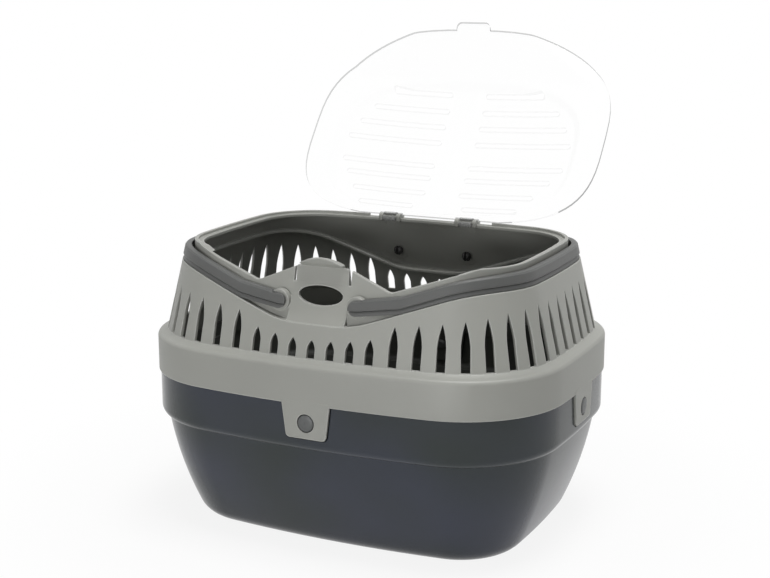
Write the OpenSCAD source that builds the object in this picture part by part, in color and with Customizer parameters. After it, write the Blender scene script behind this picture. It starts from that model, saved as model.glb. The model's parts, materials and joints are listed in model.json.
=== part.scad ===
/* [Overall] */
// Length over the skirt, left to right
length = 300; // [288:1:312]
// Width over the skirt, front to back
width = 228; // [218:1:238]
// Plan radius of the four corners
corner_r = 73.4; // [70:0.2:76]
// How far the long sides bow out between the corners
side_bow = 4.2; // [3.4:0.1:5]
// How far the ends bow out between the corners
end_bow = 1; // [0.8:0.1:1.4]
// Wall thickness of the mouldings
wall = 2.4; // [2:0.1:2.8]

/* [Tub] */
// Height of the ledge on which the skirt sits
seam_z = 107.5; // [100:0.5:112]
// Set-back of the tub band behind the skirt
band_in = 1.3; // [0.8:0.1:1.8]
// Height where the band starts to turn in
step_z = 81.5; // [76:0.5:86]
// Radius of the turned-in step
step_r = 6.6; // [5:0.1:8]
// Radius of the bowed tub side, seen from the end
bowl_r = 250; // [200:5:320]
// Set-back of the tub side just below the step
bowl_in = 7.0; // [6:0.1:7.8]
// Lean of the tub side just below the step, degrees
bowl_lean = 10.5; // [8:0.5:12]
// Radius between tub side and floor
floor_r = 17; // [12:1:20]
// Height of the rim that stands inside the skirt
spigot_h = 10; // [8:0.5:19]

/* [Shell] */
// Height of the skirt's top edge
skirt_top = 133.6; // [131:0.2:135]
// Radius of the skirt's top edge
skirt_r = 3; // [2.6:0.1:4]
// Set-back of the slotted wall at its foot
foot_in = 7; // [6:0.1:8]
// Inward run of the slotted wall for each unit of height
wall_run = 0.24; // [0.2:0.01:0.26]
// Height of the rim's top edge
rim_z = 198.2; // [196:0.2:202]
// Set-back of the rim's outer face
rim_in = 27.4; // [27.2:0.1:28.2]
// Width of the rim and lid seat
rim_w = 6.2; // [5:0.1:7]
// Depth of the lid seat below the rim's top edge
seat_drop = 1.9; // [1.5:0.1:2.4]

/* [Handle rest] */
// Height of the rest at front and back centre
rest_low = 157.8; // [154:0.2:160]
// Height of the rest along the ends
rest_high = 184.6; // [183:0.2:185.4]
// Half length of the low flat part
rest_flat = 12; // [8:1:14]
// Radius of the low bend
rest_low_r = 80; // [60:5:100]
// Radius of the high bend
rest_high_r = 115; // [95:5:130]
// Slope between the bends, degrees
rest_slope = 19; // [17:0.5:22]

/* [Slots] */
// Height of the slots' flat bottoms
slot_z = 136.2; // [135:0.1:138]
// Width of a slot
slot_w = 5.9; // [4:0.1:6.4]
// Spacing of the seven short slots at each centre
short_pitch = 13.7; // [12.5:0.1:15]
// Largest spacing of the tall slots along the wall
tall_pitch = 16.2; // [15:0.1:20]
// Height of the middle slot's opening
short_top = 147.2; // [145:0.2:150]
// Height of the first tall slot's opening
tall_first = 161; // [158:0.2:162]
// Height of the last tall slot's opening, at the ends
tall_last = 172; // [168:0.2:173]

/* [Front panel] */
// Half width of the latch tongue
tongue_half = 19; // [18:0.2:21]
// Half width of the thumb lip above the tongue
lip_half = 15.4; // [13:0.2:16.6]
// Width of the slits beside the tongue
slit_w = 1.8; // [1.2:0.1:2.4]
// Height where the slits start
slit_z = 182.5; // [182:0.2:186]
// Half width of the latch window
window_half = 16.2; // [12:0.2:17]
// Height of the latch window
window_h = 12.4; // [9:0.2:13]
// Height of the latch window's centre
window_z = 175; // [174:0.2:175.4]
// Distance of the front notches from the centre
notch_x = 48.5; // [44:0.5:54]
// Height of the bottom of the front notches
notch_z = 180.8; // [179:0.2:184]

/* [Handles] */
// Distance of each pivot from the centre
pivot_x = 28; // [26:0.5:31]
// Height of the pivots
pivot_z = 170.4; // [169.4:0.2:171.4]
// Radius of the eye at each end of a handle
eye_r = 5; // [4.6:0.1:5.6]
// Radius of the handle's pins
pin_r = 2.8; // [2.4:0.1:3.2]
// Height of the handle bar
bar_h = 10; // [8:0.2:11]
// Thickness of the handle bar
bar_t = 4.4; // [3.6:0.1:4.6]
// Depth of the step along the lower half of the bar
bar_step = 0.9; // [0.6:0.1:1.2]

/* [Lid] */
// How far the lid stands open, degrees from closed
lid_open = 129; // [110:1:132]
// Thickness of the clear lid
lid_t = 2; // [1.6:0.1:2.2]
// Rise of the lid's dome
dome_h = 13; // [8:0.5:16]
// Half length of the dome, left to right
dome_a = 98; // [80:1:104]
// Half width of the dome, front to back
dome_b = 58; // [45:1:60]
// Distance between the two hinges and the centre
hinge_x = 30.85; // [28:0.25:36]
// Length of a hinge knuckle
knuckle_l = 10.5; // [8:0.25:12]
// Radius of the hinge bars
hinge_r = 1.6; // [1.4:0.1:1.8]

/* [Lock buttons] */
// Radius of a button's head
button_r = 5.8; // [5:0.1:6.4]
// Height of the buttons
button_z = 95; // [94:0.2:97]
// Travel of a button
button_travel = 2.4; // [1.6:0.1:2.6]
// Height of the tabs' lower edge
tab_z = 84.5; // [84:0.1:86]
// Half width of a tab at its top
tab_top = 17.7; // [16:0.1:20]
// Half width of a tab at its lower edge
tab_low = 14.7; // [13:0.1:15.5]

/* [Hidden] */
// Clearance between parts that stay clear of each other
gap = 0.3;
// Radial clearance of pins in their bores
fit = 0.05;
// Overlap that lets two solids of one moulding join, and cutters pass through
eps = 0.01;
big = 400;

// Plan outline: eight tangent arcs. An inset of the outline keeps the same arc centres
a = length / 2;
b = width / 2;
corner_c = [a - corner_r - end_bow, b - corner_r - side_bow];
side_r = (corner_c[0] * corner_c[0] / side_bow + side_bow) / 2 + corner_r;
end_r = (corner_c[1] * corner_c[1] / end_bow + end_bow) / 2 + corner_r;
side_c = b - side_r;
end_c = a - end_r;
side_a = atan2(corner_c[0], corner_c[1] - side_c);
end_a = atan2(corner_c[1], corner_c[0] - end_c);
// The lines on which the arcs meet end at these points, well outside
side_end = [2 * corner_c[0], 2 * corner_c[1] - side_c];
end_end = [2 * corner_c[0] - end_c, 2 * corner_c[1]];

// The slotted wall starts one wall above the skirt and leans in; the handles lean with it
foot_z = skirt_top + wall;
function wall_in(z) = foot_in + wall_run * (z - foot_z);
lean_w = wall * sqrt(1 + wall_run * wall_run);

// Face of the band above the handles: set-back beyond the rim's face, and height
band_face = [[-10, 150], [-9, 165], [-4.8, 175], [-2.1, 184], [0, 193], [0, rim_z]];
seat_z = rim_z - seat_drop;

hinge_y = b - rim_in - rim_w - 0.4;
hinge_z = rim_z - 0.6;
knuckle_r = hinge_r + 1.8;

spigot_in = wall + 0.5;
pad_in = 4.8;
stem_r = 3;

// One arc of the outline, swept from a profile of set-back and height, cut to its sector
module arc_ring(c, r, from, turn, sector)
    intersection() {
        translate([c[0], c[1], 0])
            rotate_extrude(start = from, angle = turn, $fn = r > 2 * corner_r ? 720 : 96)
                translate([r, 0]) mirror([1, 0]) children();
        translate([0, 0, -big]) linear_extrude(2 * big) polygon(sector);
    }

module side_arc(s)
    arc_ring([0, s * side_c], side_r, s * 90 - ceil(side_a) - 1, 2 * ceil(side_a) + 2,
             [[0, s * side_c], [-side_end[0], s * side_end[1]], [side_end[0], s * side_end[1]]])
        children();

module end_arc(s)
    arc_ring([s * end_c, 0], end_r, 90 - s * 90 - ceil(end_a) - 1, 2 * ceil(end_a) + 2,
             [[s * end_c, 0], [s * end_end[0], -end_end[1]], [s * end_end[0], end_end[1]]])
        children();

module corner_arc(q) {
    u = q == 0 || q == 3 ? 1 : -1;
    v = q < 2 ? 1 : -1;
    intersection() {
        arc_ring([u * corner_c[0], v * corner_c[1]], corner_r, q * 90, 90,
                 [[0, v * side_c], [u * side_end[0], v * side_end[1]],
                  [u * 3 * big, v * side_end[1]], [u * 3 * big, v * side_c]])
            children();
        translate([0, 0, -big]) linear_extrude(2 * big)
            polygon([[u * end_c, 0], [u * end_end[0], v * end_end[1]],
                     [u * end_end[0], v * 3 * big], [u * end_c, v * 3 * big]]);
    }
}

// A wall of one profile all round
module ring() {
    for (s = [-1, 1]) {
        side_arc(s) children();
        end_arc(s) children();
    }
    for (q = [0:3]) corner_arc(q) children();
}

// A plate whose edge is the outline, set back by d
module plate(d, z0, z1) {
    reach = corner_r + 8;
    for (s = [-1, 1]) {
        side_arc(s) translate([d, z0]) square([reach - d, z1 - z0]);
        end_arc(s) translate([d, z0]) square([reach - d, z1 - z0]);
    }
    for (q = [0:3]) corner_arc(q) translate([d, z0]) square([corner_r - d, z1 - z0]);
    translate([-corner_c[0], -corner_c[1], z0])
        cube([2 * corner_c[0], 2 * corner_c[1], z1 - z0]);
}

// A shape drawn in length and height, pushed through from y0 to y1
module through(y0, y1)
    translate([0, y1, 0]) rotate([90, 0, 0]) linear_extrude(y1 - y0) children();

// A shape drawn in depth and height, pushed through from x0 to x1
module across(x0, x1)
    translate([x0, 0, 0]) rotate([90, 0, 90]) linear_extrude(x1 - x0) children();

// The middle of one of the four sides: 0 front, 1 right, 2 back, 3 left. Outwards is -Y
module facing(k)
    rotate(90 * k) translate([0, k % 2 == 0 ? -b : -a, 0]) children();

// Everything below the handle rest, moved up by t square to its own line
module under_rest(t = 0) {
    n = 8;
    rise = rest_high - rest_low - (rest_low_r + rest_high_r) * (1 - cos(rest_slope));
    far = rest_flat + (rest_low_r + rest_high_r) * sin(rest_slope) + rise / tan(rest_slope);
    turns = [for (i = [0:n]) rest_slope * i / n];
    low = [for (u = turns)
        [rest_flat, rest_low + rest_low_r] + (rest_low_r - t) * [sin(u), -cos(u)]];
    high = [for (u = turns)
        [far, rest_high - rest_high_r] + (rest_high_r + t) * [-sin(u), cos(u)]];
    half = concat(low, [for (i = [n:-1:0]) high[i]], [[big, rest_high + t]]);
    polygon(concat([[-big, -60], [big, -60]], [for (i = [2 * n + 2:-1:0]) half[i]],
                   [for (p = half) [-p[0], p[1]]]));
}

// ---------- Tub ----------

// Everything inside the tub's side, moved in by t
module tub_section(t) {
    foot_d = step_z - step_r - 5;
    bow = [bowl_in + bowl_r * cos(bowl_lean), foot_d + bowl_r * sin(bowl_lean)];
    fil = [bow[0] - sqrt(pow(bowl_r - floor_r, 2) - pow(bow[1] - floor_r, 2)), floor_r];
    out = (fil - bow) / norm(fil - bow);
    intersection() {
        union() {
            difference() {
                translate(bow) circle(bowl_r - t, $fn = 360);
                polygon([fil, [fil[0], -60], [-60, -60], fil + 2 * floor_r * out]);
                translate([-big, -2 * big + t]) square([2 * big, 2 * big]);
                translate([-big, step_z]) square([2 * big, big]);
            }
            translate(fil) circle(floor_r - t, $fn = 96);
            translate([band_in + step_r, step_z]) circle(step_r - t, $fn = 64);
            translate([band_in + t, step_z]) square([60, seam_z - step_z - (t > 0 ? wall : 0)]);
            translate([spigot_in + t, step_z])
                square([60, seam_z - step_z + spigot_h + (t > 0 ? 1 : 0)]);
        }
        translate([0, t]) square([floor_r + 28, big]);
    }
}

// Outline of a lock tab, grown by t, with round lower corners
module tab_shape(t, top) {
    s = atan((tab_top - tab_low) / (seam_z - tab_z));
    c = [tab_low - 3 * cos(s), tab_z + 3];
    side = [for (i = [0:6]) let (u = -90 + (90 - s) * i / 6) c + (3 + t) * [cos(u), sin(u)]];
    w = side[6][0] + (top - side[6][1]) * tan(s);
    polygon(concat(side, [[w, top], [-w, top]],
                   [for (i = [6:-1:0]) [-side[i][0], side[i][1]]]));
}

module base_tub()
    color([0.25, 0.27, 0.30]) difference() {
        union() {
            ring() difference() {
                tub_section(0);
                tub_section(wall);
            }
            plate(floor_r + 27, 0, wall);
            // Pads behind the four tab pockets
            for (k = [0:3]) facing(k)
                translate([0, pad_in, 0]) through(-eps, wall) tab_shape(2.4, seam_z - eps);
        }
        for (k = [0:3]) facing(k) {
            translate([0, pad_in, 0]) through(-20, 0) tab_shape(0.8, seam_z);
            translate([0, pad_in - 1, button_z]) rotate([-90, 0, 0])
                cylinder(r = stem_r + fit, h = 8, $fn = 48);
        }
    }

// ---------- Shell ----------

// Outer face of the skirt, its rounded top edge, the shoulder and the slotted wall
module shell_outside() {
    top = rest_high + 3;
    translate([0, seam_z]) square([30, skirt_top - skirt_r - seam_z]);
    translate([skirt_r, skirt_top - skirt_r]) circle(skirt_r, $fn = 48);
    polygon([[skirt_r, seam_z], [skirt_r, skirt_top], [foot_in, foot_z], [wall_in(top), top],
             [rim_in + wall, top], [rim_in + wall, seam_z]]);
}

module shell_inside() {
    top = rest_high + 4;
    polygon([[wall, seam_z - 1], [wall, skirt_top - 1.35 * wall],
             [foot_in + 0.87 * wall, foot_z - 0.65 * wall],
             [wall_in(top) + lean_w, top], [rim_in + 4 * wall, top],
             [rim_in + 4 * wall, seam_z - 1]]);
}

module band_section() {
    n = len(band_face);
    polygon(concat([for (p = band_face) [rim_in + p[0], p[1]]],
                   [for (i = [n - 1:-1:0]) [rim_in + band_face[i][0] + wall, band_face[i][1]]]));
}

// Lid seat and the ridge outside it
module rim_section() {
    translate([rim_in, seat_z - wall]) square([rim_w, wall]);
    translate([rim_in, seat_z - wall]) square([2, rim_z - seat_z + wall]);
}

// Slot of height h, its foot on the line z = 0: upright sides, and two arcs that meet in a point
module lancet(h) {
    k = 0.62 * h;
    w = slot_w + 0.3;
    r = (k * k + w * w / 4) / w;
    difference() {
        translate([-slot_w / 2, 0]) square([slot_w, h + 1]);
        for (m = [0, 1]) mirror([m, 0]) difference() {
            translate([-1, h - k]) square([slot_w + 1, k + 2]);
            translate([w / 2 - r, h - k]) circle(r, $fn = 360);
        }
    }
}

module slot_cutter(top)
    translate([0, 0, slot_z]) through(-30, wall_in(top) + lean_w + 1.5) lancet(top - slot_z + 1);

// Places an outward-facing slot at distance s along the wall's foot from the front's centre
side_l = (side_r - foot_in) * side_a * PI / 180;
corner_l = (corner_r - foot_in) * (90 - side_a - end_a) * PI / 180;
end_l = (end_r - foot_in) * end_a * PI / 180;
quarter = side_l + corner_l + end_l;
function turn_at(s) =
    s < side_l ? s / (side_r - foot_in) * 180 / PI
    : s < side_l + corner_l ? side_a + (s - side_l) / (corner_r - foot_in) * 180 / PI
    : 90 - (quarter - s) / (end_r - foot_in) * 180 / PI;
function centre_at(s) =
    s < side_l ? [0, -side_c] : s < side_l + corner_l ? [corner_c[0], -corner_c[1]] : [end_c, 0];
function radius_at(s) = s < side_l ? side_r : s < side_l + corner_l ? corner_r : end_r;

module at_wall(s)
    translate(centre_at(s)) rotate(turn_at(s)) translate([0, -radius_at(s), 0]) children();

tall_n = ceil((quarter - 3 * short_pitch) / tall_pitch);
tall_step = (quarter - 3 * short_pitch) / tall_n;
function tall_top(k) =
    min(tall_last, tall_first + (tall_last - tall_first) * (k - 1) * tall_step / 92);

module slots() {
    for (f = [0, 1]) mirror([0, f, 0]) {
        for (i = [-3:3]) mirror([i < 0 ? 1 : 0, 0, 0])
            at_wall(abs(i) * short_pitch) slot_cutter(short_top + 4.3 * i * i / 9);
        for (m = [0, 1], k = [1:tall_n - 1]) mirror([m, 0, 0])
            at_wall(3 * short_pitch + k * tall_step) slot_cutter(tall_top(k));
    }
    for (m = [0, 1]) mirror([m, 0, 0]) at_wall(quarter - eps) slot_cutter(tall_last);
}

// Cut above the front panel: a shallow V each side of the tongue, rounded at the bottom
module notches() {
    slope_in = 22.5;
    slope_out = 18;
    r = 6;
    edge = tongue_half + slit_w;
    c = [notch_x, notch_z + r];
    p = c + r * [-sin(slope_in), -cos(slope_in)];
    q = c + r * [sin(slope_out), -cos(slope_out)];
    far = q[0] + (rim_z + 4 - q[1]) / tan(slope_out);
    for (m = [0, 1]) mirror([m, 0]) {
        polygon([[0, slit_z], [edge, slit_z], [edge, p[1] + (p[0] - edge) * tan(slope_in)],
                 p, c, q, [far, rim_z + 4], [0, rim_z + 4]]);
        translate(c) circle(r, $fn = 48);
    }
}

// Latch tongue, with a narrower thumb lip that flares outwards
module tongue()
    intersection() {
        side_arc(-1) polygon([[rim_in - 2.6, slit_z - 1], [rim_in - 1.3, rim_z - 7],
                              [rim_in - 1.5, rim_z - 4.8], [rim_in - 4.2, rim_z - 3.2],
                              [rim_in - 5.4, rim_z - 1.4], [rim_in - 5.6, rim_z + 3],
                              [rim_in - 3.2, rim_z + 3], [rim_in - 0.8, rim_z - 0.6],
                              [rim_in + 0.2, rim_z - 4], [rim_in + 0.4, rim_z - 7],
                              [rim_in - 0.2, slit_z - 1]]);
        through(-big, 0) tongue_front();
    }

module tongue_front() {
    z1 = rim_z - 4.9;
    rise = 4;
    r = (lip_half * lip_half + rise * rise) / (2 * rise);
    lip = [for (i = [-8:8]) let (x = -lip_half * i / 8)
        [x, rim_z + 1.3 - r + sqrt(r * r - x * x)]];
    polygon(concat([[-lip_half, z1], [1 - tongue_half, z1], [-tongue_half, z1 - 1],
                    [-tongue_half, slit_z - 1], [tongue_half, slit_z - 1],
                    [tongue_half, z1 - 1], [tongue_half - 1, z1], [lip_half, z1]], lip));
}

// Latch window
module window()
    translate([0, window_z])
        polygon([for (i = [0:35]) [window_half * cos(10 * i), window_h / 2 * sin(10 * i)]]);

// Sloping apron that fills in the front rest between the handles' eyes
apron_w = 1.5 * pivot_x;

module apron_sheet()
    polygon([[wall_in(rest_low - 3), rest_low - 3], [rim_in - 9, 165],
             [rim_in - 9 + wall, 165], [wall_in(rest_low - 3) + lean_w, rest_low - 5]]);

module apron_below()
    polygon([[wall_in(rest_low - 5) + lean_w, rest_low - 5], [rim_in - 9 + wall, 165],
             [rim_in + 3 * wall, 165], [rim_in + 3 * wall, rest_low - 5]]);

module hinge_lugs()
    for (m = [-1, 1]) translate([m * hinge_x, hinge_y, hinge_z]) {
        rotate([0, 90, 0]) cylinder(r = hinge_r, h = knuckle_l + 3, center = true, $fn = 48);
        for (e = [-1, 1]) translate([e * (knuckle_l / 2 + 1.8), 0, 0]) {
            rotate([0, 90, 0]) cylinder(r = 2.6, h = 3, center = true, $fn = 48);
            translate([-1.5, -2.6, -3.2]) cube([3, 2.6 + rim_w, 3.2]);
            translate([-1.5, 0, -3.2]) cube([3, rim_w, 3.8]);
        }
    }

module top_shell()
    color([0.60, 0.60, 0.57]) difference() {
        union() {
            difference() {
                union() {
                    // Skirt, slotted wall and handle rest in one sheet
                    difference() {
                        intersection() {
                            ring() shell_outside();
                            through(-big, big) under_rest();
                        }
                        intersection() {
                            ring() shell_inside();
                            through(-big, big) under_rest(-wall);
                        }
                    }
                    difference() {
                        ring() {
                            band_section();
                            rim_section();
                        }
                        through(-big, big) under_rest(-wall);
                    }
                    intersection() {
                        side_arc(-1) apron_sheet();
                        cube([apron_w, big, big], center = true);
                    }
                }
                intersection() {
                    side_arc(-1) apron_below();
                    cube([apron_w, big, big], center = true);
                }
                through(-big, -60) notches();
                // Plain rim behind the lid, and room for the hinge knuckles
                translate([-50, 60, seat_z + 0.2]) cube([100, 60, 10]);
                for (m = [-1, 1]) translate([m * hinge_x - knuckle_l / 2 - gap, 60, seat_z - 6])
                    cube([knuckle_l + 2 * gap, hinge_y + 4 - 60, 20]);
            }
            tongue();
            hinge_lugs();
            for (s = [-1, 1], m = [-1, 1]) scale_y(s)
                translate([m * pivot_x, -b + boss_in, pivot_z]) rotate([-90, 0, 0])
                    cylinder(r = boss_r, h = 4, $fn = 64);
            // Lock tabs
            for (k = [0:3]) facing(k)
                through(0, wall - 0.2) tab_shape(0, seam_z + 2);
        }
        slots();
        through(-big, 0) window();
        for (m = [-1, 1]) translate([m * pivot_x, 0, pivot_z]) rotate([90, 0, 0])
            cylinder(r = pin_r + fit, h = big, center = true, $fn = 48);
        for (k = [0:3]) facing(k) translate([0, -5, button_z]) rotate([-90, 0, 0])
            cylinder(r = button_r + 0.4, h = 10, $fn = 64);
    }

module scale_y(s) mirror([0, s > 0 ? 1 : 0, 0]) children();

// ---------- Handles ----------

// The bar leans with the wall; d0 and d1 are measured from its outer face
module bar_section(d0, d1) {
    z0 = rest_low - 4;
    z1 = rest_high + bar_h + 6;
    polygon([[wall_in(z0) - 0.3 + d0, z0], [wall_in(z1) - 0.3 + d0, z1],
             [wall_in(z1) - 0.3 + d1, z1], [wall_in(z0) - 0.3 + d1, z0]]);
}

// Height of the rest at x, moved up by t square to its own line
function rest_at(x, t) =
    let (r = rest_low_r - t, turn_x = rest_flat + r * sin(rest_slope))
    rest_low + rest_low_r
    + (x < turn_x ? -sqrt(r * r - pow(x - rest_flat, 2))
                  : -r * cos(rest_slope) + (x - turn_x) * tan(rest_slope));

// Side view of the bar between two fractions of its height; it narrows towards the pivot
module bar_side(f0, f1) {
    x1 = pivot_x + 30;
    z0 = pivot_z + eye_r * (2 * f0 - 1);
    z1 = pivot_z + eye_r * (2 * f1 - 1);
    difference() {
        under_rest(gap + f1 * bar_h);
        under_rest(gap + f0 * bar_h);
        translate([-big - 1, -61]) square([big + 1 + x1, 2 * big]);
    }
    polygon([[0, z0], [pivot_x, z0], [x1, rest_at(x1, gap + f0 * bar_h)],
             [x1, rest_at(x1, gap + f1 * bar_h)], [pivot_x, z1], [0, z1]]);
}

// Round eye at the pivot, and everything beyond it
module bar_end()
    polygon(concat([for (u = [90:15:270]) [pivot_x + eye_r * cos(u), pivot_z + eye_r * sin(u)]],
                   [[big, -60], [big, big]]));

module bar(d0, d1, f0, f1)
    intersection() {
        union() {
            for (s = [-1, 1]) side_arc(s) bar_section(d0, d1);
            end_arc(1) bar_section(d0, d1);
            for (q = [0, 3]) corner_arc(q) bar_section(d0, d1);
        }
        through(-big, big) bar_side(f0, f1);
    }

boss_in = 17.9;
boss_r = 7.2;

// Pin with a split snap tip, from the eye inwards along +Y
module handle_pin() {
    l = 12.4;
    difference() {
        rotate([-90, 0, 0]) rotate_extrude($fn = 48)
            polygon([[0, -0.5], [pin_r, -0.5], [pin_r, 7.8], [pin_r + 0.8, 8.1],
                     [pin_r + 0.8, 8.9], [pin_r - 0.6, l - 1.2], [0, l - 1.2]]);
        translate([-0.6, 3.5, -5]) cube([1.2, 10, 10]);
    }
}

module handle() {
    difference() {
        intersection() {
            bar(0, bar_t, 0, 1);
            through(-big, big) bar_end();
        }
        // Steps, so the bar's outside reads as an upper roll over a lower one
        bar(-1, bar_step, -0.3, 0.34);
        bar(-1, bar_step + 0.7, 0.27, 0.34);
        bar(-1, bar_step * 0.6, 0.92, 1.3);
        for (s = [-1, 1]) scale_y(s) translate([pivot_x, -b + boss_in - gap, pivot_z])
            rotate([-90, 0, 0]) cylinder(r = boss_r + gap, h = 30, $fn = 64);
    }
    for (s = [-1, 1]) scale_y(s) translate([pivot_x, -b + boss_in - gap, pivot_z])
        handle_pin();
}

module handle_right() color([0.31, 0.31, 0.31]) handle();

module handle_left() color([0.31, 0.31, 0.31]) mirror([1, 0, 0]) handle();

// ---------- Lid ----------

lid_z = seat_z + 0.4;
lid_top = lid_z + lid_t;
dome_y = hinge_y - 64;
lid_a = a - rim_in - 3;
lid_b = b - rim_in - 7.6;

// Point of a superellipse
function bulge(half_x, half_y, n, u) =
    [half_x * sign(cos(u)) * pow(abs(cos(u)), 2 / n), half_y * sign(sin(u)) * pow(abs(sin(u)), 2 / n)];

// Broad vault curved both ways, with steep sides down to the lid's plate
module dome(t) {
    va = 1.42 * dome_a;
    vb = 1.42 * dome_b;
    ra = (va * va + dome_h * dome_h) / (2 * dome_h);
    rb = (vb * vb + dome_h * dome_h) / (2 * dome_h);
    intersection() {
        translate([0, dome_y, lid_top + dome_h - rb]) rotate([0, 90, 0])
            rotate_extrude($fn = 360) intersection() {
                translate([rb - ra, 0]) circle(ra - t, $fn = 360);
                translate([0, -dome_a - 5]) square([rb + 1, 2 * dome_a + 10]);
            }
        translate([0, dome_y, lid_z]) linear_extrude(dome_h + 4, scale = 0.86)
            polygon([for (i = [0:39]) bulge(dome_a + 4 - t, dome_b + 3 - t, 3, 9 * i)]);
    }
}

// Everything under the lid's top face, lowered by t: flat, with a visor that dips in front and
// cheeks that follow the notches beside the latch tongue
module lid_under(t) {
    slope = (lid_top - slit_z + 3.5) / 35;
    far = lid_b + 12;
    top = lid_top - t;
    low = top - (far - 45) * slope;
    across(-a, a)
        polygon([[-far, low - 40], [-far, low], [-45, top], [b, top], [b, low - 40]]);
    for (m = [0, 1]) mirror([m, 0, 0]) through(-b, 0)
        polygon([[notch_x - 2.5, low - 40], [notch_x - 2.5, top - 19], [notch_x + 53.5, top],
                 [a, top], [a, low - 40]]);
}

// The corners are rounder than the rim's, more so in front
module lid_plan() {
    translate([0, 0, lid_z - 50]) linear_extrude(70)
        polygon(concat([for (i = [0:35]) bulge(lid_a, lid_b, 2.8, 180 + 5 * i)],
                       [for (i = [0:35]) let (p = bulge(lid_a, hinge_y - 0.5, 3.6, 5 * i))
                           [p[0], min(p[1], hinge_y - 2)]]));
    // Latch tab
    w = 14;
    y = -lid_b - 5;
    r = 4;
    translate([0, 0, lid_z - 50]) linear_extrude(70)
        polygon(concat([for (u = [180:15:270]) [r - w + r * cos(u), y + r + r * sin(u)]],
                       [for (u = [270:15:360]) [w - r + r * cos(u), y + r + r * sin(u)]],
                       [[w, y + 20], [-w, y + 20]]));
}

module lid_slots() {
    reach = dome_a * [0.66, 0.755, 0.854, 0.929, 0.94, 0.878, 0.79, 0.64];
    row = dome_b * [0.845, 0.621, 0.379, 0.181, -0.181, -0.422, -0.655, -0.897];
    for (i = [0:7], m = [-1, 1]) {
        x0 = i == 0 ? 20 : 14;
        translate([m * (x0 + reach[i]) / 2, dome_y + row[i], lid_z - 5])
            linear_extrude(30) {
                square([reach[i] - x0 - 4, 4], center = true);
                for (e = [-1, 1]) translate([e * (reach[i] - x0 - 4) / 2, 0]) circle(2, $fn = 32);
            }
    }
}

module lid_closed() {
    difference() {
        union() {
            intersection() {
                difference() {
                    lid_under(0);
                    lid_under(lid_t);
                }
                lid_plan();
            }
            dome(0);
            for (m = [-1, 1]) translate([m * hinge_x, hinge_y, hinge_z]) {
                rotate([0, 90, 0])
                    cylinder(r = knuckle_r, h = knuckle_l, center = true, $fn = 64);
                translate([-knuckle_l / 2, -9, lid_z - hinge_z])
                    cube([knuckle_l, 9, lid_t]);
            }
        }
        translate([0, 0, -0.01]) dome(lid_t);
        lid_slots();
        for (m = [-1, 1]) translate([m * hinge_x, hinge_y, hinge_z]) {
            rotate([0, 90, 0]) cylinder(r = hinge_r + fit, h = knuckle_l + 2, center = true, $fn = 48);
            translate([-knuckle_l, -1.3, -10]) cube([2 * knuckle_l, 2.6, 10]);
            // The plate stands clear of the lugs
            for (e = [-1, 1]) translate([e * (knuckle_l / 2 + 1.8) - 2, -3.2, -4])
                cube([4, 10, 8]);
        }
    }
}

module lid()
    color([0.85, 0.88, 0.88, 0.35])
        translate([0, hinge_y, hinge_z]) rotate([-lid_open, 0, 0])
            translate([0, -hinge_y, -hinge_z]) lid_closed();

// ---------- Lock buttons ----------

// Head, stem and snap collar, turned about the button's own axis
module lock_button(k)
    color([0.41, 0.41, 0.41]) facing(k) translate([0, -0.8, button_z]) rotate([-90, 0, 0])
        rotate_extrude($fn = 64)
            polygon([[0, 0], [button_r - 1.6, 0.15], [button_r - 0.5, 0.6], [button_r, 1.4],
                     [button_r, 2.4], [stem_r, 2.4], [stem_r, 8.2], [stem_r + 0.9, 8.2],
                     [stem_r + 0.9, 8.8], [stem_r - 0.6, 10], [0, 10]]);

base_tub();
top_shell();
lid();
handle_left();
handle_right();
lock_button(0);  // lock_button_front
lock_button(2);  // lock_button_back
lock_button(3);  // lock_button_left
lock_button(1);  // lock_button_right
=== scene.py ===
import json
import math

import bmesh
import bpy
from mathutils import Matrix, Vector


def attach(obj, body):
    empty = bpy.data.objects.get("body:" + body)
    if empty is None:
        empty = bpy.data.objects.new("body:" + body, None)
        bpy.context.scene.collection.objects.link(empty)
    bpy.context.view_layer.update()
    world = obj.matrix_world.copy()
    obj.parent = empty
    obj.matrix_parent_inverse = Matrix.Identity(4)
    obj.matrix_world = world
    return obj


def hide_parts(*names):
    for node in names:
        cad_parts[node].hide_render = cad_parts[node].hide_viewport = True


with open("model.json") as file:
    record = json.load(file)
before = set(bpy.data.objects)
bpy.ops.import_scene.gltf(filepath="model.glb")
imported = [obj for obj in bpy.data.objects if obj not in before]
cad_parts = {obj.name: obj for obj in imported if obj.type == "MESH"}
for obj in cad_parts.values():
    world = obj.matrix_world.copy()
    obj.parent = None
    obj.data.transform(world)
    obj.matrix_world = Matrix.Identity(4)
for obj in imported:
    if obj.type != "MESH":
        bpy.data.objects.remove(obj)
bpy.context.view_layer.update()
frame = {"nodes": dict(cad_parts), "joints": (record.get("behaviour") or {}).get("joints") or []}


# --- Camera ------------------------------------------------------------------
# A longish lens a little above the rim, turned round to the right-hand corner
# of the carrier, so that the open cabin and the raised lid both show.
view_camera = bpy.data.cameras.new("view_camera")
view_camera.sensor_width = 36.0
view_camera.lens = 67.54
view_camera_stand = bpy.data.objects.new("view_camera", view_camera)
bpy.context.scene.collection.objects.link(view_camera_stand)
camera_spot = Vector((0.42861, -0.89375, 0.38460))
camera_aim = Vector((0.00253, 0.0, 0.16093))
view_camera_stand.location = camera_spot
view_camera_stand.rotation_euler = (camera_aim - camera_spot).to_track_quat("-Z", "Y").to_euler()
bpy.context.scene.camera = view_camera_stand


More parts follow.
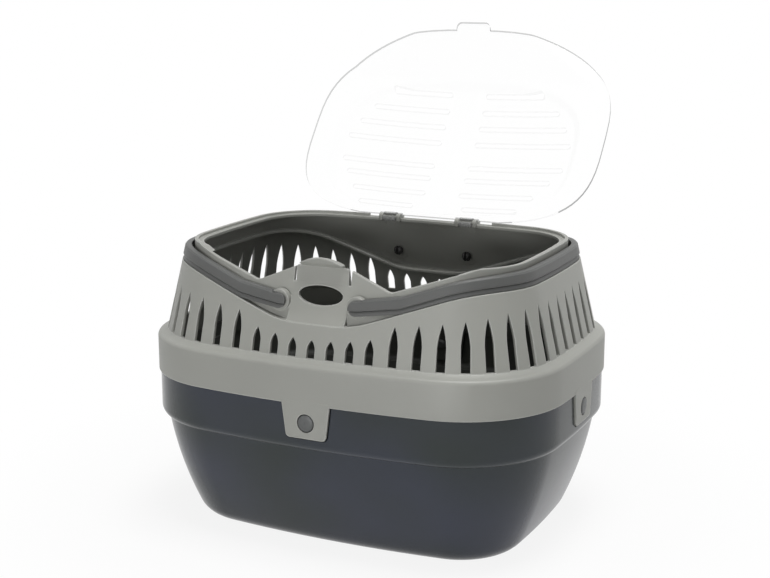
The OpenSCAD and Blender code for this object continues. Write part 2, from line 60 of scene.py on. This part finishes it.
# --- Tub ---------------------------------------------------------------------
# The lower half: one deep injection moulding in dark blue-grey polypropylene,
# polished in the mould. It stands on its flat base and carries the roof frame.
class Wire:
    """A node's output that takes part in ordinary sums."""

    def __init__(self, wiring, socket):
        self.wiring = wiring
        self.socket = socket

    def maths(self, operation, *terms):
        return self.wiring.node("ShaderNodeMath", {"operation": operation}, dict(enumerate(terms)))

    def __add__(self, other):
        return self.maths("ADD", self, other)

    def __radd__(self, other):
        return self.maths("ADD", other, self)

    def __sub__(self, other):
        return self.maths("SUBTRACT", self, other)

    def __rsub__(self, other):
        return self.maths("SUBTRACT", other, self)

    def __mul__(self, other):
        return self.maths("MULTIPLY", self, other)

    def __rmul__(self, other):
        return self.maths("MULTIPLY", other, self)

    def __or__(self, other):
        return self.maths("MAXIMUM", self, other)

    def __ror__(self, other):
        return self.maths("MAXIMUM", other, self)


class Wiring:
    """An empty node tree, and the one method that adds a node to it."""

    def __init__(self, tree):
        self.tree = tree
        self.tree.nodes.clear()

    def node(self, kind, settings=None, inputs=None, output=0):
        """A node from its settings and its sockets; one output comes back as a wire."""
        made = self.tree.nodes.new(kind)
        for key, value in (settings or {}).items():
            setattr(made, key, value)
        for key, value in (inputs or {}).items():
            self.feed(made.inputs[key], value)
        return Wire(self, made.outputs[output]) if len(made.outputs) else None

    def feed(self, socket, value):
        """Gives a socket a plain value, a wire, or a list of wires that it joins."""
        if isinstance(value, list):
            for wire in value:
                self.feed(socket, wire)
        elif isinstance(value, Wire):
            self.tree.links.new(value.socket, socket)
        else:
            socket.default_value = value


class Finish(Wiring):
    """One material and the wiring of its surface."""

    bevel_samples = 8
    edge_gain = 3.2  # brings the turn of a normal on an edge up towards 1

    def __init__(self, name):
        self.material = bpy.data.materials.new(name)
        self.material.use_nodes = True
        super().__init__(self.material.node_tree)

    def grain(self, size, detail=2.0, stretch=(1.0, 1.0, 1.0)):
        """Noise whose blotches are about size metres across, from 0 to 1."""
        place = self.node("ShaderNodeTexCoord", output="Object")
        place = self.node("ShaderNodeMapping", inputs={0: place, "Scale": stretch})
        return self.node("ShaderNodeTexNoise", inputs={
            "Vector": place, "Scale": 1.0 / size, "Detail": detail, "Roughness": 0.55})

    def marked(self, name):
        """The number that mark() stored on each face."""
        return self.node("ShaderNodeAttribute", {"attribute_name": name}, output="Fac")

    def tint(self, amount, first, second):
        """A colour between two, each a wire or three numbers, by a wire from 0 to 1."""
        first, second = (colour if isinstance(colour, Wire) else (*colour, 1.0)
                         for colour in (first, second))
        return self.node("ShaderNodeMix", {"data_type": "RGBA"},
                         {"Factor": amount, "A": first, "B": second}, output=2)

    def rounded(self, radius):
        """The normal as if every edge were rounded by radius."""
        return self.node("ShaderNodeBevel", {"samples": self.bevel_samples}, {"Radius": radius})

    def relief(self, height, depth, edge=0.0007):
        """A normal from a height between 0 and 1, depth metres deep, on edges rounded by edge."""
        return self.node("ShaderNodeBump", inputs={
            "Height": height, "Distance": depth, "Strength": 1.0, "Normal": self.rounded(edge)})

    def edges(self, radius):
        """0 on open faces, rising to 1 on an edge rounded by radius."""
        flat = self.node("ShaderNodeNewGeometry", output="Normal")
        together = self.node("ShaderNodeVectorMath", {"operation": "DOT_PRODUCT"},
                             {0: self.rounded(radius), 1: flat}, output="Value")
        return self.edge_gain * (1.0 - together)

    def surface(self, **inputs):
        """The plastic itself; its sockets are named with _ for a space."""
        named = {key.replace("_", " "): value for key, value in inputs.items()}
        skin = self.node("ShaderNodeBsdfPrincipled", inputs=named)
        self.node("ShaderNodeOutputMaterial", inputs={"Surface": skin})
        return self.material


def moulding(node, name, body, material, crease=32.0, weld_gap=2e-6):
    """A welded copy of a solid, which it replaces, smooth but for edges over crease degrees."""
    skin = frame["nodes"][node].data.copy()
    skin.name = name
    shape = bmesh.new()
    shape.from_mesh(skin)
    bmesh.ops.remove_doubles(shape, verts=shape.verts, dist=weld_gap)
    for face in shape.faces:
        face.smooth = True
    limit = math.radians(crease)
    for edge in shape.edges:
        edge.smooth = edge.is_manifold and edge.calc_face_angle(0.0) < limit
    shape.to_mesh(skin)
    shape.free()
    skin.materials.clear()
    skin.materials.append(material)
    piece = bpy.data.objects.new(name, skin)
    bpy.context.scene.collection.objects.link(piece)
    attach(piece, body)
    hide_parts(node)
    return piece


def mark(skin, name, amount):
    """Stores a number on each face of a mesh, which amount works out from the face."""
    stored = skin.attributes.new(name, "FLOAT", "FACE")
    for face in skin.polygons:
        stored.data[face.index].value = float(amount(face))


def outward(face):
    """Above 0 where a face looks away from the carrier's upright axis, below 0 towards it."""
    return face.normal.x * face.center.x + face.normal.y * face.center.y


def level(face, upright=0.7):
    """Whether a face looks up, as a floor or a ledge does."""
    return face.normal.z > upright


# Mottled green-grey to blue-grey: partly the plastic's own tone, partly a painted sheen.
tub_green_grey = (0.024, 0.031, 0.025)
tub_blue_sheen_grey = (0.037, 0.042, 0.065)
# Painted light: faces inside the tub and faces that look up get this lighter grey.
tub_painted_light_grey = (0.075, 0.078, 0.070)
tub_finish = Finish("polished_blue_grey")
tub_tone_and_sheen_cloud = tub_finish.grain(size=0.10, detail=1.0, stretch=(1.0, 1.0, 1.6))
tub_polish = tub_finish.grain(size=0.0016)
tub_painted_light_faces = tub_finish.marked("inside")
tub_tone_and_sheen = tub_finish.tint(1.7 * tub_tone_and_sheen_cloud - 0.35, tub_green_grey, tub_blue_sheen_grey)
tub_plastic = tub_finish.surface(
    Base_Color=tub_finish.tint(tub_painted_light_faces, tub_tone_and_sheen, tub_painted_light_grey),
    Roughness=0.15 + 0.10 * tub_tone_and_sheen_cloud + 0.30 * tub_painted_light_faces,
    Specular_IOR_Level=0.30,
    Normal=tub_finish.relief(tub_polish, depth=0.00003))
tub = moulding("base_tub", "tub_moulding", "body", tub_plastic)
# Marks the faces that take the painted light grey: inward-looking or upward-looking.
mark(tub.data, "inside", lambda face: outward(face) < 0.0 or level(face))


# --- Roof frame --------------------------------------------------------------
# Satin taupe-grey moulding with the skirt, the slotted wall, the handle rest,
# the panel with the latch tongue and the rim. It drops over the tub's spigot.
frame_dark = (0.276, 0.279, 0.256)
frame_light = (0.304, 0.307, 0.282)
# Painted highlight: edges on faces that look out or up are lightened to this grey.
frame_painted_edge_highlight = (0.50, 0.505, 0.48)
frame_finish = Finish("satin_taupe")
frame_grain = frame_finish.grain(size=0.0011)
frame_cloud = frame_finish.grain(size=0.06, detail=1.0)
frame_tint = frame_finish.tint(frame_cloud, frame_dark, frame_light)
frame_outer_edge_highlight = frame_finish.marked("outer") * frame_finish.edges(radius=0.0017)
frame_plastic = frame_finish.surface(
    Base_Color=frame_finish.tint(frame_outer_edge_highlight, frame_tint, frame_painted_edge_highlight),
    Roughness=0.42 + 0.10 * frame_grain,
    Normal=frame_finish.relief(frame_grain, depth=0.00004, edge=0.0013))
roof_frame = moulding("top_shell", "roof_frame", "body", frame_plastic)
# Marks the faces whose edges take the painted highlight.
mark(roof_frame.data, "outer", lambda face: outward(face) > 0.0 or level(face))


# --- Lock buttons ------------------------------------------------------------
# Four mid-grey buttons in the skirt's tabs. Each snaps into a bore of the tub
# and locks the roof frame down; pressing it in lets the tab slide up.
button_dark = (0.078, 0.082, 0.082)
button_light = (0.092, 0.096, 0.095)
button_finish = Finish("satin_mid_grey")
button_grain = button_finish.grain(size=0.0009)
button_plastic = button_finish.surface(
    Base_Color=button_finish.tint(button_grain, button_dark, button_light),
    Roughness=0.38 + 0.10 * button_grain,
    Normal=button_finish.relief(button_grain, depth=0.00003))
for side in ("front", "back", "left", "right"):
    moulding("lock_button_" + side, "button_" + side, "lock_button_" + side,
             button_plastic)


# --- Handles -----------------------------------------------------------------
# Two dark satin handles that lie on the rest round each end. Their eyes carry
# split pins that snap into the front and back panels.
handle_dark = (0.070, 0.072, 0.070)
handle_light = (0.088, 0.090, 0.087)
# Painted highlight: the handles' edges are lightened to this grey.
handle_painted_edge_highlight = (0.16, 0.163, 0.158)
# Painted shade: the pins' barbs, inside the cabin, are darkened to this near-black.
barb_painted_shade = (0.016, 0.016, 0.015)
barb_radius = 0.006    # round the pin's axis
barb_depth = 0.0915    # the barbs lie nearer the middle of the cabin than this
handle_finish = Finish("satin_dark_grey")
handle_grain = handle_finish.grain(size=0.0010)
handle_cloud = handle_finish.grain(size=0.05, detail=1.0)
handle_tint = handle_finish.tint(
    handle_finish.edges(radius=0.0012),
    handle_finish.tint(handle_cloud, handle_dark, handle_light), handle_painted_edge_highlight)
handle_plastic = handle_finish.surface(
    Base_Color=handle_finish.tint(handle_finish.marked("barb"), handle_tint, barb_painted_shade),
    Roughness=0.44 + 0.12 * handle_grain,
    Normal=handle_finish.relief(handle_grain, depth=0.00004, edge=0.0016))


def on_barb(face, pin):
    """Whether a handle's face belongs to the split end of its pins."""
    off_pin = math.hypot(face.center.x - pin.x, face.center.z - pin.z)
    return off_pin < barb_radius and abs(face.center.y) < barb_depth


for side in ("left", "right"):
    handle = moulding("handle_" + side, "carry_handle_" + side, "handle_" + side,
                      handle_plastic)
    handle_pin = next(Vector(joint["pos_m"]) for joint in frame["joints"]
                      if joint["name"] == "handle_" + side + "_hinge")
    mark(handle.data, "barb", lambda face: on_barb(face, handle_pin))


# --- Lid ---------------------------------------------------------------------
# One thin moulding in clear polystyrene, domed, slotted and open at 129 degrees.
# It shows by its cut edges, painted grey as a painted reflection, and its gloss.
# Its thick knuckles snap on the grey hinge bars; their grey, like the bars', is painted refraction
# and shade.
lid_joint = next(joint for joint in frame["joints"] if joint["name"] == "lid_hinge")
lid_hinge = Vector(lid_joint["pos_m"])
lid_open = math.radians(129.0)
sheet_up = Vector((0.0, math.sin(lid_open), math.cos(lid_open)))
sheet_out = Vector((0.0, -math.cos(lid_open), math.sin(lid_open)))
clear_white = (0.86, 0.88, 0.87)
# Painted reflection: the lid's cut edges are painted towards this grey.
cut_edge_painted_reflection_grey = (0.12, 0.125, 0.12)
# Painted refraction and shade: the clear knuckles and their ribs are painted this grey.
knuckle_painted_refraction_grey = (0.50, 0.50, 0.49)
side_on = 0.35                    # below this a face looks along the sheet
outline_half_width = 0.099        # beyond these three lines an edge is the lid's outline,
outline_far = 0.125               # and within them it is the edge of a slot
outline_near = 0.0035
outline_edge = 1.2
# Painted reflection: edges that look to the right are painted darker still.
outline_right_painted_reflection = 1.0          # added on an edge that looks to the right
slot_edge = 0.22
knuckle_reach = 0.0036
knuckle_sides = (0.0250, 0.0365)
knuckle_solid = 0.8               # how solid the knuckles look in the clear sheet
lid_finish = Finish("clear_polystyrene")
lid_painted_edge = lid_finish.marked("cut_edge")
lid_painted_knuckle = lid_finish.marked("knuckle")
glance = lid_finish.node("ShaderNodeLayerWeight", inputs={"Blend": 0.2}, output="Facing")
lid_tint = lid_finish.tint(lid_painted_edge, clear_white, cut_edge_painted_reflection_grey)
lid_plastic = lid_finish.surface(
    Base_Color=lid_finish.tint(lid_painted_knuckle, lid_tint, knuckle_painted_refraction_grey),
    Roughness=0.06,
    Alpha=0.012 + 0.07 * glance + 0.32 * lid_painted_edge + 0.70 * lid_painted_knuckle)


def from_hinge(face):
    """How far out along the sheet a face lies from the hinge axis."""
    return (face.center - lid_hinge).dot(sheet_out)


def edge_amount(face):
    """How strongly a face shows as a cut edge of the clear sheet."""
    if abs(face.normal.dot(sheet_up)) >= side_on:
        return 0.0
    if abs(face.center.x) > outline_half_width or not outline_near <= from_hinge(face) <= outline_far:
        return outline_edge + outline_right_painted_reflection * max(0.0, face.normal.x)
    return slot_edge


def knuckle_amount(face):
    """How solid a face of the two knuckles looks."""
    near_bar = knuckle_sides[0] < abs(face.center.x) < knuckle_sides[1]
    return knuckle_solid if from_hinge(face) < knuckle_reach and near_bar else 0.0


lid = moulding("lid", "clear_lid", "lid", lid_plastic, crease=24.0)
mark(lid.data, "cut_edge", edge_amount)
mark(lid.data, "knuckle", knuckle_amount)


# --- Knuckle ribs ------------------------------------------------------------
# Fine grip ribs round the lid's two knuckles, moulded in one with the lid. They
# run above and below the mouth of each knuckle, which snaps on the hinge bar.
rib_count = 6
rib_pitch = 0.0017
rib_width = 0.0008
rib_height = 0.0006
knuckle_radius = 0.0034
knuckle_count = 2
knuckle_spread = 0.0617           # between the first ribs of the two knuckles
rib_arcs = ((34.0, 78.0), (170.0, 74.0))    # start and sweep, in degrees
rib_arc_steps = 12
rib_turn = (math.pi / 2, 0.0, math.pi / 2)  # makes an arc face along the hinge axis
# How strongly the ribs take the knuckles' painted refraction grey.
rib_solid = 0.6
rib_tree = bpy.data.node_groups.new("knuckle_ribs", "GeometryNodeTree")
rib_inputs = []
for label, kind, value in (("Ribs", "NodeSocketInt", rib_count),
                           ("Pitch", "NodeSocketFloat", rib_pitch),
                           ("Rib Width", "NodeSocketFloat", rib_width),
                           ("Rib Height", "NodeSocketFloat", rib_height),
                           ("Knuckle Radius", "NodeSocketFloat", knuckle_radius),
                           ("Knuckle Spread", "NodeSocketFloat", knuckle_spread),
                           ("Plastic", "NodeSocketMaterial", lid_plastic)):
    socket = rib_tree.interface.new_socket(label, in_out="INPUT", socket_type=kind)
    rib_inputs.append((socket.identifier, value))
rib_tree.interface.new_socket("Ribs Mesh", in_out="OUTPUT", socket_type="NodeSocketGeometry")
ribs = Wiring(rib_tree)


def rib_input(label):
    """One of the tree's named inputs, as a wire."""
    return ribs.node("NodeGroupInput", output=label)


def row_of(instance, count, direction):
    """Copies of a shape on a straight line of points."""
    line = ribs.node("GeometryNodeMeshLine", inputs={"Count": count, "Offset": direction})
    return ribs.node("GeometryNodeInstanceOnPoints", inputs={"Points": line, "Instance": instance})


rib_bar = ribs.node("GeometryNodeCurvePrimitiveQuadrilateral", inputs={
    "Width": rib_input("Rib Height"), "Height": rib_input("Rib Width")})
arc_ribs = []
for start, sweep in rib_arcs:
    arc = ribs.node("GeometryNodeCurveArc", inputs={
        "Resolution": rib_arc_steps, "Radius": rib_input("Knuckle Radius"),
        "Start Angle": math.radians(start), "Sweep Angle": math.radians(sweep)})
    arc_ribs.append(ribs.node("GeometryNodeCurveToMesh", inputs={
        "Curve": arc, "Profile Curve": rib_bar, "Fill Caps": True}))
one_rib = ribs.node("GeometryNodeTransform", inputs={
    "Geometry": ribs.node("GeometryNodeJoinGeometry", inputs={"Geometry": arc_ribs}),
    "Rotation": rib_turn})
pitch_step = ribs.node("ShaderNodeCombineXYZ", inputs={"X": rib_input("Pitch")})
spread_step = ribs.node("ShaderNodeCombineXYZ", inputs={"X": rib_input("Knuckle Spread")})
all_ribs = row_of(row_of(one_rib, rib_input("Ribs"), pitch_step), knuckle_count, spread_step)
rib_mesh = ribs.node("GeometryNodeSetMaterial", inputs={
    "Geometry": ribs.node("GeometryNodeRealizeInstances", inputs={"Geometry": all_ribs}),
    "Material": rib_input("Plastic")})
ribs.node("NodeGroupOutput", inputs={"Ribs Mesh": rib_mesh})

rib_stand = bpy.data.objects.new("knuckle_ribs", bpy.data.meshes.new("rib_start"))
bpy.context.scene.collection.objects.link(rib_stand)
rib_maker = rib_stand.modifiers.new("knuckle_ribs", "NODES")
rib_maker.node_group = rib_tree
for identifier, value in rib_inputs:
    rib_maker[identifier] = value
rib_made = bpy.data.meshes.new_from_object(
    rib_stand.evaluated_get(bpy.context.evaluated_depsgraph_get()))
rib_stand.modifiers.remove(rib_maker)
rib_made.name = "knuckle_ribs"
first_rib = Vector((-(knuckle_spread + (rib_count - 1) * rib_pitch) / 2, 0.0, 0.0))
rib_made.transform(Matrix.Translation(lid_hinge + first_rib))
rib_stand.data = rib_made
mark(rib_made, "cut_edge", lambda face: 0.0)
mark(rib_made, "knuckle", lambda face: rib_solid)
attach(rib_stand, "lid")


# --- Table and light ---------------------------------------------------------
# A white table in a white surround, both shown by the gloss and the clear lid
# too. A low strip lamp in front and a large soft one overhead light the
# carrier, and a low one behind it stays out of the gloss.
table_half = 6.0
paper_white = (0.80, 0.80, 0.80, 1.0)
glow_white = (1.0, 1.0, 1.0, 1.0)
shadow_fade = (0.12, 0.36)        # the shadow fades out between these distances
glow_in_shadow = 0.88             # the rest is lit paper, which takes the shadow
surround_light = 0.20
surround_shown = 1.0
lamp_aim = Vector((0.0, 0.0, 0.1))


def shown(wiring):
    """1 for a ray that shows the background: seen, mirrored or through clear plastic."""
    camera, glossy, transmission = (
        wiring.node("ShaderNodeLightPath", output=ray)
        for ray in ("Is Camera Ray", "Is Glossy Ray", "Is Transmission Ray"))
    return camera | (glossy | transmission)


table_mesh = bpy.data.meshes.new("table")
table_mesh.from_pydata([(-table_half, -table_half, 0), (table_half, -table_half, 0),
                        (table_half, table_half, 0), (-table_half, table_half, 0)],
                       [], [(0, 1, 2, 3)])
table = bpy.data.objects.new("table", table_mesh)
bpy.context.scene.collection.objects.link(table)
table_finish = Finish("white_table")
table_paper = table_finish.node("ShaderNodeBsdfDiffuse", inputs={"Color": paper_white})
table_glow = table_finish.node("ShaderNodeEmission", inputs={"Color": glow_white, "Strength": 1.0})
table_spot = table_finish.node("ShaderNodeTexCoord", output="Object")
table_reach = table_finish.node("ShaderNodeVectorMath", {"operation": "LENGTH"},
                                {0: table_spot}, output="Value")
table_white = table_finish.node("ShaderNodeMapRange", {"interpolation_type": "SMOOTHSTEP"}, {
    "Value": table_reach, "From Min": shadow_fade[0], "From Max": shadow_fade[1],
    "To Min": glow_in_shadow, "To Max": 1.0})
table_mix = table_finish.node("ShaderNodeMixShader", inputs={
    0: shown(table_finish) * table_white, 1: table_paper, 2: table_glow})
table_finish.node("ShaderNodeOutputMaterial", inputs={"Surface": table_mix})
table_mesh.materials.append(table_finish.material)

surround = bpy.data.worlds.new("surround")
bpy.context.scene.world = surround
surround.use_nodes = True
around = Wiring(surround.node_tree)
sky_level = around.node("ShaderNodeMapRange", inputs={
    "Value": shown(around), "To Min": surround_light, "To Max": surround_shown})
sky = around.node("ShaderNodeBackground", inputs={"Color": glow_white, "Strength": sky_level})
around.node("ShaderNodeOutputWorld", inputs={"Surface": sky})

for name, spot, size, power, in_gloss in (
        ("front", (0.05, -2.25, 0.14), (1.1, 0.22), 16.0, True),
        ("rear", (0.90, 2.05, 0.22), (1.5, 0.30), 12.0, False),
        ("overhead", (0.30, -0.12, 2.20), (1.0, 0.8), 39.0, True)):
    lamp = bpy.data.lights.new(name, "AREA")
    lamp.shape = "RECTANGLE"
    lamp.size, lamp.size_y = size
    lamp.energy = power
    lamp_stand = bpy.data.objects.new(name, lamp)
    bpy.context.scene.collection.objects.link(lamp_stand)
    lamp_stand.location = spot
    lamp_stand.visible_glossy = in_gloss
    lamp_stand.rotation_euler = (lamp_aim - Vector(spot)).to_track_quat("-Z", "Y").to_euler()

bpy.context.scene.view_settings.view_transform = "Standard"
